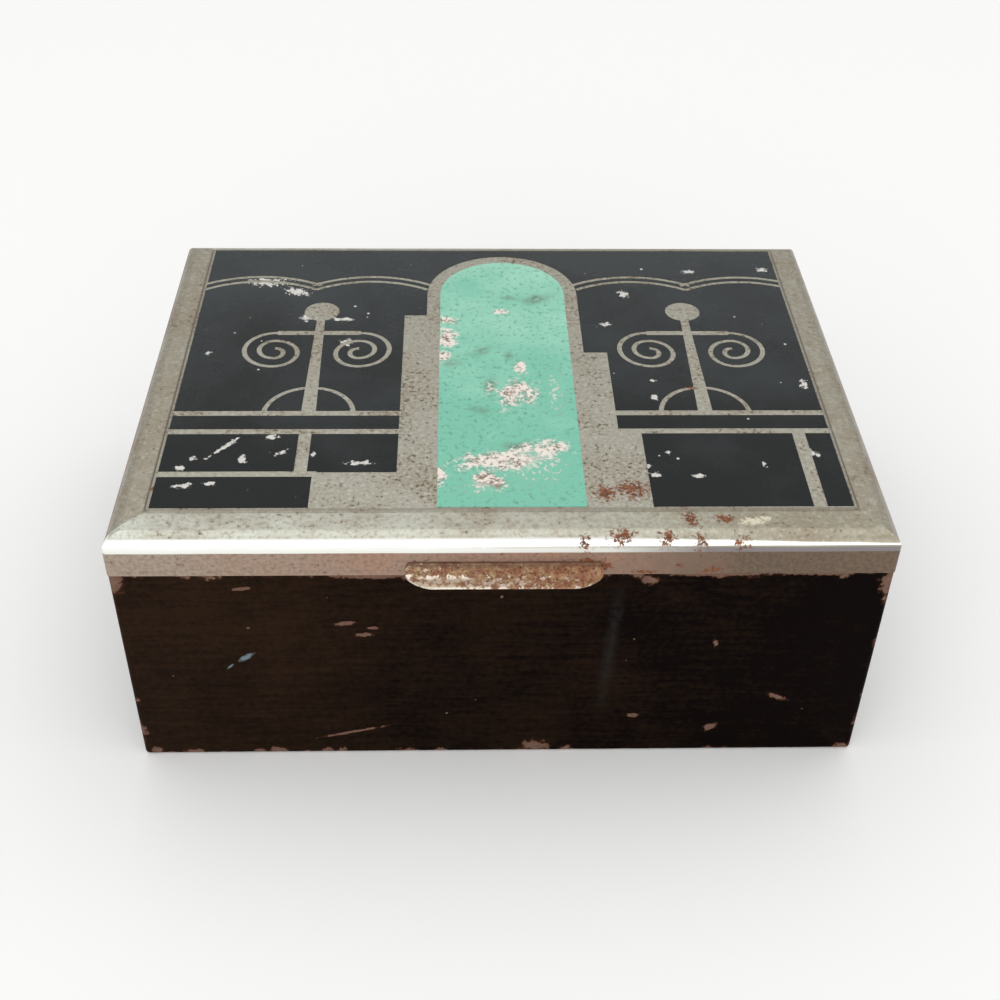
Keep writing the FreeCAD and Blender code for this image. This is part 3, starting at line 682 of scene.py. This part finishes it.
# Painted reflection: the black is painted lighter slate towards the back.
rearward = add(tree, "Math", {0: along, 1: 0.007, 2: hazy}, operation="MULTIPLY_ADD")
tone = add(tree, "MapRange", {"Value": rearward, "From Min": 0.4, "From Max": 1.0})
ink = add(tree, "Mix", {0: tone, 6: linear(ENAMEL_BLACK), 7: linear(ENAMEL_SLATE)}, out=2,
          data_type="RGBA")
flake_gap = add(tree, "Math", {0: ragged, 1: 3.6, 2: nearest(tree, mm, on_lid(BLACK_FLAKES))},
                operation="MULTIPLY_ADD")
flake = add(tree, "MapRange", {"Value": flake_gap, "From Min": 2.62, "From Max": 2.42})
nicks = add(tree, "TexVoronoi", {"Vector": mm, "Scale": 1 / NICK_SPACING}, out=None)
nick_size = add(tree, "Math", {0: add(tree, "SeparateColor", {0: nicks.outputs["Color"]}), 1: 0.24,
                               2: -0.13}, operation="MULTIPLY_ADD")
nick = add(tree, "Math", {0: nicks.outputs["Distance"], 1: nick_size}, operation="LESS_THAN")
lost = add(tree, "Math", {0: flake, 1: nick}, operation="MAXIMUM")
tin_tint = add(tree, "Mix", {0: ragged, 6: linear(FLAKED_TIN), 7: linear(DULL_FLAKE)}, out=2,
               data_type="RGBA")
colour = add(tree, "Mix", {0: lost, 6: ink, 7: tin_tint}, out=2, data_type="RGBA")
gloss = add(tree, "MapRange", {"Value": cloud, "From Min": 0.3, "From Max": 0.7, "To Min": 0.2,
                               "To Max": 0.34})
rough = add(tree, "Math", {0: lost, 1: 0.25, 2: gloss}, operation="MULTIPLY_ADD")
film = add(tree, "Math", {0: lost, 1: -0.06, 2: add(tree, "Math", {0: ragged, 1: 0.004},
                                                    operation="MULTIPLY")},
           operation="MULTIPLY_ADD")
relief = add(tree, "Bump", {"Height": film, "Distance": 0.001, "Strength": 1.0})
shader = add(tree, "BsdfPrincipled", {"Base Color": colour, "Roughness": rough, "Normal": relief,
                                      "IOR": 1.5, "Specular IOR Level": 0.185})
add(tree, "OutputMaterial", {"Surface": shader}, out=None)
black.data.materials.append(enamel)
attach(black, "lid")


# Green print: a round-headed panel of mint green enamel in the middle of the field, rolled on as
# the black was. It has worn through in three broad patches where hands and things rubbed it.
green = round_headed("lid_print_green", PANEL_HALF, PANEL_HEAD, ENAMEL_FOOT, ENAMEL_TOP)
trim = block("trim", (PANEL_X - PANEL_HALF - 1, FIELD_FRONT - 3, CUT_FOOT),
             (PANEL_X + PANEL_HALF + 1, FIELD_FRONT, CUT_TOP))
cut(green, trim)
MINT = "74bfa5"
MINT_PALE = "9ad3bb"
MINT_DEEP = "4c8a73"
WORN_WHITE = "ebe1d7"
WORN_BROWN = "6f5541"
STAIN_BROWN = "566048"
MINT_CLOUD = 12
WEAR_GRAIN = 2.2
MINT_SPECK = 1.1
# Worn patches, stains and pale flecks in the green, in millimetres: x, y, half length, half width,
# and degrees turned.
GREEN_WEAR = [
    (0.0, -30.0, 10.0, 3.4, 8), (8.0, -26.4, 5.0, 3.0, 10), (-2.5, -36.2, 4.2, 2.4, -20),
    (-11.6, -34.8, 1.3, 3.2, 0), (2.8, -8.4, 4.6, 4.8, 0), (4.6, 0.6, 1.6, 2.6, 0),
    (-10.4, 18.2, 2.8, 1.7, 0), (-10.4, 11.5, 2.2, 4.2, 0), (-11.0, 5.2, 1.6, 2.6, 0),
    (0.9, 22.0, 1.7, 1.2, 0),
]
GREEN_STAINS = [
    (8.6, 27.0, 4.6, 2.4, 15), (2.6, 27.3, 2.2, 1.2, 0), (-3.3, 6.8, 3.0, 1.6, 30),
    (2.4, 5.5, 1.6, 2.6, 0), (-3.9, -14.0, 3.2, 1.6, 0), (-9.0, 2.0, 2.6, 2.2, 0),
    (3.0, -25.6, 5.0, 1.6, 8), (-1.5, -5.5, 2.0, 3.4, 0),
]
GREEN_FLECKS = [(5.5, -31.5, 10.5, 8.5, 0), (11.0, -8.0, 2.6, 11.0, 0), (-4.0, -37.5, 5.0, 4.0, 0)]

# Mint enamel is a flat milky green, a little paler at the back. Rubbed patches break into white
# metal grains and brown specks, with thin brownish stains round them.
mint, tree, mm = new_finish("baked_mint_enamel")
along = add(tree, "SeparateXYZ", {0: mm}, out="Y")
cloud = add(tree, "TexNoise", {"Vector": mm, "Scale": 1 / MINT_CLOUD, "Detail": 4,
                               "Roughness": 0.6})
grain = add(tree, "TexNoise", {"Vector": mm, "Scale": 1 / WEAR_GRAIN, "Detail": 5,
                               "Roughness": 0.75})
specks = add(tree, "TexNoise", {"Vector": mm, "Scale": 1 / MINT_SPECK, "Detail": 3,
                                "Roughness": 0.7})
rearward = add(tree, "Math", {0: along, 1: 0.006, 2: cloud}, operation="MULTIPLY_ADD")
paler = add(tree, "MapRange", {"Value": rearward, "From Min": 0.4, "From Max": 0.85})
base = add(tree, "Mix", {0: paler, 6: linear(MINT), 7: linear(MINT_PALE)}, out=2, data_type="RGBA")
deep = add(tree, "MapRange", {"Value": specks, "From Min": 0.54, "From Max": 0.7, "To Max": 0.8})
dotted = add(tree, "Mix", {0: deep, 6: base, 7: linear(MINT_DEEP)}, out=2, data_type="RGBA")
stain_gap = add(tree, "Math", {0: grain, 1: 4.2, 2: nearest(tree, mm, on_lid(GREEN_STAINS))},
                operation="MULTIPLY_ADD")
stained = add(tree, "MapRange", {"Value": stain_gap, "From Min": 3.1, "From Max": 2.3})
stain_grain = add(tree, "MapRange", {"Value": specks, "From Min": 0.4, "From Max": 0.62,
                                     "To Min": 0.2, "To Max": 0.9})
stain = add(tree, "Math", {0: stained, 1: stain_grain}, operation="MULTIPLY")
dirty = add(tree, "Mix", {0: stain, 6: dotted, 7: linear(STAIN_BROWN)}, out=2, data_type="RGBA")
fleck_gap = add(tree, "Math", {0: specks, 1: -5.0, 2: nearest(tree, mm, on_lid(GREEN_FLECKS))},
                operation="MULTIPLY_ADD")
fleck = add(tree, "MapRange", {"Value": fleck_gap, "From Min": -2.3, "From Max": -2.8,
                               "To Max": 0.7})
flecked = add(tree, "Mix", {0: fleck, 6: dirty, 7: linear(WORN_WHITE)}, out=2, data_type="RGBA")
wear_gap = add(tree, "Math", {0: grain, 1: 4.2, 2: nearest(tree, mm, on_lid(GREEN_WEAR))},
               operation="MULTIPLY_ADD")
worn_off = add(tree, "MapRange", {"Value": wear_gap, "From Min": 3.0, "From Max": 2.6})
mixed = add(tree, "Math", {0: cloud, 1: 0.4, 2: specks}, operation="MULTIPLY_ADD")
brown_grain = add(tree, "MapRange", {"Value": mixed, "From Min": 0.68, "From Max": 0.8,
                                     "To Max": 0.9})
under_tint = add(tree, "Mix", {0: brown_grain, 6: linear(WORN_WHITE), 7: linear(WORN_BROWN)},
                 out=2, data_type="RGBA")
colour = add(tree, "Mix", {0: worn_off, 6: flecked, 7: under_tint}, out=2, data_type="RGBA")
gloss = add(tree, "MapRange", {"Value": cloud, "From Min": 0.3, "From Max": 0.7, "To Min": 0.3,
                               "To Max": 0.45})
rough = add(tree, "Math", {0: worn_off, 1: 0.2, 2: gloss}, operation="MULTIPLY_ADD")
film = add(tree, "Math", {0: worn_off, 1: -0.06, 2: add(tree, "Math", {0: grain, 1: 0.01},
                                                        operation="MULTIPLY")},
           operation="MULTIPLY_ADD")
relief = add(tree, "Bump", {"Height": film, "Distance": 0.001, "Strength": 1.0})
shader = add(tree, "BsdfPrincipled", {"Base Color": colour, "Roughness": rough, "Normal": relief,
                                      "IOR": 1.5})
add(tree, "OutputMaterial", {"Surface": shader}, out=None)
green.data.materials.append(mint)
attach(green, "lid")


# Thumb lift: a bent lip of tinned steel, lapped on the front skirt and soldered along its top.
# Most of its tin is gone, so it is crusted with rust, with gold and pale scraps of tin left.
LIFT_RUST = "8e5f45"
LIFT_DARK = "4a2c1e"
LIFT_GOLD = "b69b74"
LIFT_RED = "94532f"
LIFT_PALE = "e6dccb"
LIFT_TOP = 50.1
LIFT_RIM = 47.75
LUMP_SIZE = 1.6
PIT_SIZE = 0.5
SCRAP_SIZE = 1.1

# Rusted tinplate is matt and lumpy: brown and gold crust, pale grains of tin, and dark pits. The
# lower lip edge is painted pale on its left half: pale tin there, with a painted highlight along
# the rim.
crusted, tree, mm = new_finish("rusted_tinned_steel")
across, _, up = add(tree, "SeparateXYZ", {0: mm}, out=None).outputs
lumps = add(tree, "TexNoise", {"Vector": mm, "Scale": 1 / LUMP_SIZE, "Detail": 5,
                               "Roughness": 0.65})
grain = add(tree, "TexNoise", {"Vector": mm, "Scale": 1 / PIT_SIZE, "Detail": 3, "Roughness": 0.7})
scraps = add(tree, "TexNoise", {"Vector": mm, "Scale": 1 / SCRAP_SIZE, "Detail": 4,
                                "Roughness": 0.7})
golden = add(tree, "MapRange", {"Value": lumps, "From Min": 0.42, "From Max": 0.62})
crust = add(tree, "Mix", {0: golden, 6: linear(LIFT_RUST), 7: linear(LIFT_GOLD)}, out=2,
            data_type="RGBA")
rightward = add(tree, "MapRange", {"Value": across, "From Min": -4, "From Max": 14,
                                   "To Max": 0.32})
ruddy = add(tree, "Mix", {0: rightward, 6: crust, 7: linear(LIFT_RED)}, out=2, data_type="RGBA")
uneven = add(tree, "Math", {0: scraps, 1: -2.4, 2: up}, operation="MULTIPLY_ADD")
under_solder = add(tree, "MapRange", {"Value": uneven, "From Min": LIFT_TOP - 2.1,
                                      "From Max": LIFT_TOP - 1.4, "To Max": 0.6})
pit = add(tree, "MapRange", {"Value": grain, "From Min": 0.49, "From Max": 0.35})
shaded = add(tree, "Math", {0: pit, 1: under_solder}, operation="MAXIMUM")
pitted = add(tree, "Mix", {0: shaded, 6: ruddy, 7: linear(LIFT_DARK)}, out=2, data_type="RGBA")
leftward = add(tree, "Math", {0: across, 1: -0.006, 2: scraps}, operation="MULTIPLY_ADD")
# Painted highlight: near the lower rim, the pale tin colour is made more likely, as a bright line
# along the edge.
low = add(tree, "MapRange", {"Value": up, "From Min": LIFT_RIM + 0.5, "From Max": LIFT_RIM - 0.3,
                             "To Max": 0.2})
kept = add(tree, "Math", {0: leftward, 1: low})
scrap_and_rim_highlight = add(tree, "MapRange", {"Value": kept, "From Min": 0.67, "From Max": 0.74, "To Max": 0.9})
flecked = add(tree, "Mix", {0: scrap_and_rim_highlight, 6: pitted, 7: linear(LIFT_PALE)}, out=2, data_type="RGBA")
metal = add(tree, "MapRange", {"Value": scrap_and_rim_highlight, "To Max": 0.6})
rough = add(tree, "MapRange", {"Value": scrap_and_rim_highlight, "To Min": 0.72, "To Max": 0.35})
height = add(tree, "Math", {0: lumps, 1: 0.18, 2: add(tree, "Math", {0: grain, 1: 0.06},
                                                      operation="MULTIPLY")},
             operation="MULTIPLY_ADD")
relief = add(tree, "Bump", {"Height": height, "Distance": 0.001, "Strength": 1.0})
shader = add(tree, "BsdfPrincipled", {"Base Color": flecked, "Metallic": metal, "Roughness": rough,
                                      "Normal": relief})
add(tree, "OutputMaterial", {"Surface": shader}, out=None)
put_on("thumb_lift", crusted)


# Lift solder: the bead of soft solder that was run along the lift's top edge, where it laps the
# skirt. It is uneven and has rusted with the lift.
BEAD_HALF = 17.0
BEAD_BACK = -52.05
BEAD_FRONT = -52.52
BEAD_FOOT = 50.02
BEAD_TOP = 50.42
BEAD_CUTS = 59
BEAD_ROUND = 0.3
BEAD_ROUGH = 0.06
bead = block("lift_solder", (-BEAD_HALF, BEAD_FRONT, BEAD_FOOT), (BEAD_HALF, BEAD_BACK, BEAD_TOP))
pick_edges(bead, lambda a, b: abs(a.x - b.x) > 1)
bpy.ops.mesh.subdivide(number_cuts=BEAD_CUTS)
pick_edges(bead, lambda a, b: abs(a.x - b.x) > 0.1 and min(a.z, b.z) > BEAD_TOP - 0.01
           and max(a.y, b.y) < BEAD_FRONT + 0.01)
bpy.ops.mesh.bevel(offset=BEAD_ROUND / 1000, segments=4, affect="EDGES")
pick_edges(bead, lambda a, b: min(a.z, b.z) > BEAD_FOOT + 0.05
           and max(a.y, b.y) < BEAD_BACK - 0.05)
bpy.ops.transform.vertex_random(offset=BEAD_ROUGH / 1000, uniform=1.0, seed=4)
bpy.ops.object.mode_set(mode="OBJECT")
bpy.ops.object.shade_smooth()
bead.data.materials.append(crusted)
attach(bead, "lid")


# Floor: a wide sheet of white paper that the box stands on. It sweeps up far behind the box, so
# that no edge shows, and it isn't part of the box. Its sizes are in metres.
FLOOR_HALF = 4.0
SWEEP_RISE = 2.5
SWEEP_RADIUS = 1.0
bpy.ops.object.select_all(action="DESELECT")
bpy.ops.mesh.primitive_plane_add(size=2 * FLOOR_HALF)
floor = bpy.context.object
floor.name = "studio_floor"
pick_edges(floor, lambda a, b: min(a.y, b.y) > 0)
bpy.ops.mesh.extrude_region_move(TRANSFORM_OT_translate={"value": (0, 0, SWEEP_RISE)})
pick_edges(floor, lambda a, b: min(a.y, b.y) > 0 and max(a.z, b.z) < 1)
bpy.ops.mesh.bevel(offset=SWEEP_RADIUS, segments=16, affect="EDGES")
bpy.ops.object.mode_set(mode="OBJECT")
bpy.ops.object.shade_smooth()
FLOOR_WHITE = "fbfbfa"
FIBRE_SIZE = 0.8

# Matt white paper is an even pale surface that takes the box's soft shadow. Its fibres are drawn
# coarser than real ones, because those are too fine to show.
paper, tree, mm = new_finish("matt_white_paper")
fibre = add(tree, "TexNoise", {"Vector": mm, "Scale": 1 / FIBRE_SIZE, "Detail": 2,
                               "Roughness": 0.5})
relief = add(tree, "Bump", {"Height": fibre, "Distance": 0.000004, "Strength": 1.0})
shader = add(tree, "BsdfPrincipled", {"Base Color": linear(FLOOR_WHITE), "Roughness": 0.9,
                                      "Specular IOR Level": 0.1, "Normal": relief})
add(tree, "OutputMaterial", {"Surface": shader}, out=None)
floor.data.materials.append(paper)


# Light: an even white room, a broad soft light overhead, and one in front of the box and to its
# left, which shows as the white line along the rounded front edge of the lid.
ROOM_LIGHT = 0.72
# Each soft light: its place and its size in metres, and its radiance.
SOFT_LIGHTS = {
    "overhead": ((0.1, 0.25, 1.6), (2.0, 2.0), 0.6),
    "front": ((-0.25, -1.35, 0.75), (2.0, 1.1), 1.06),
}
room = bpy.data.worlds.new("white_room")
room.use_nodes = True
tree = room.node_tree
tree.nodes.clear()
ray = add(tree, "LightPath", out=None)
seen = add(tree, "Math", {0: ray.outputs["Is Camera Ray"], 1: ray.outputs["Is Glossy Ray"]},
           operation="MAXIMUM")
seen = add(tree, "Math", {0: seen, 1: ray.outputs["Is Transmission Ray"]}, operation="MAXIMUM")
level = add(tree, "MapRange", {"Value": seen, "To Min": ROOM_LIGHT, "To Max": 1.0})
glow = add(tree, "Background", {"Color": (1, 1, 1, 1), "Strength": level})
add(tree, "OutputWorld", {"Surface": glow}, out=None)
bpy.context.scene.world = room
for name, (place, size, radiance) in SOFT_LIGHTS.items():
    lamp = bpy.data.lights.new(name, "AREA")
    lamp.shape = "RECTANGLE"
    lamp.size, lamp.size_y = size
    lamp.energy = radiance * math.pi * size[0] * size[1]
    holder = bpy.data.objects.new(name, lamp)
    bpy.context.scene.collection.objects.link(holder)
    holder.location = place
    aim = -holder.location
    holder.rotation_euler = aim.to_track_quat("-Z", "Y").to_euler()


# Camera: in front of the box, a little left of its middle, looking down on the lid and tilted a
# little. Its place is in metres, its angles are in degrees, and its lens is in millimetres.
CAMERA_PLACE = (-0.00785, -0.23694, 0.21615)
CAMERA_YAW = 2.112
CAMERA_DIP = 39.33
CAMERA_ROLL = 1.161
CAMERA_LENS = 50.85
view = bpy.data.cameras.new("view")
view.sensor_width = 36
view.lens = CAMERA_LENS
view.clip_start = 0.01
camera = bpy.data.objects.new("view", view)
bpy.context.scene.collection.objects.link(camera)
camera.matrix_world = (
    Matrix.Translation(CAMERA_PLACE)
    @ Matrix.Rotation(-math.radians(CAMERA_YAW), 4, "Z")
    @ Matrix.Rotation(math.radians(90 - CAMERA_DIP), 4, "X")
    @ Matrix.Rotation(math.radians(CAMERA_ROLL), 4, "Z"))
bpy.context.scene.camera = camera
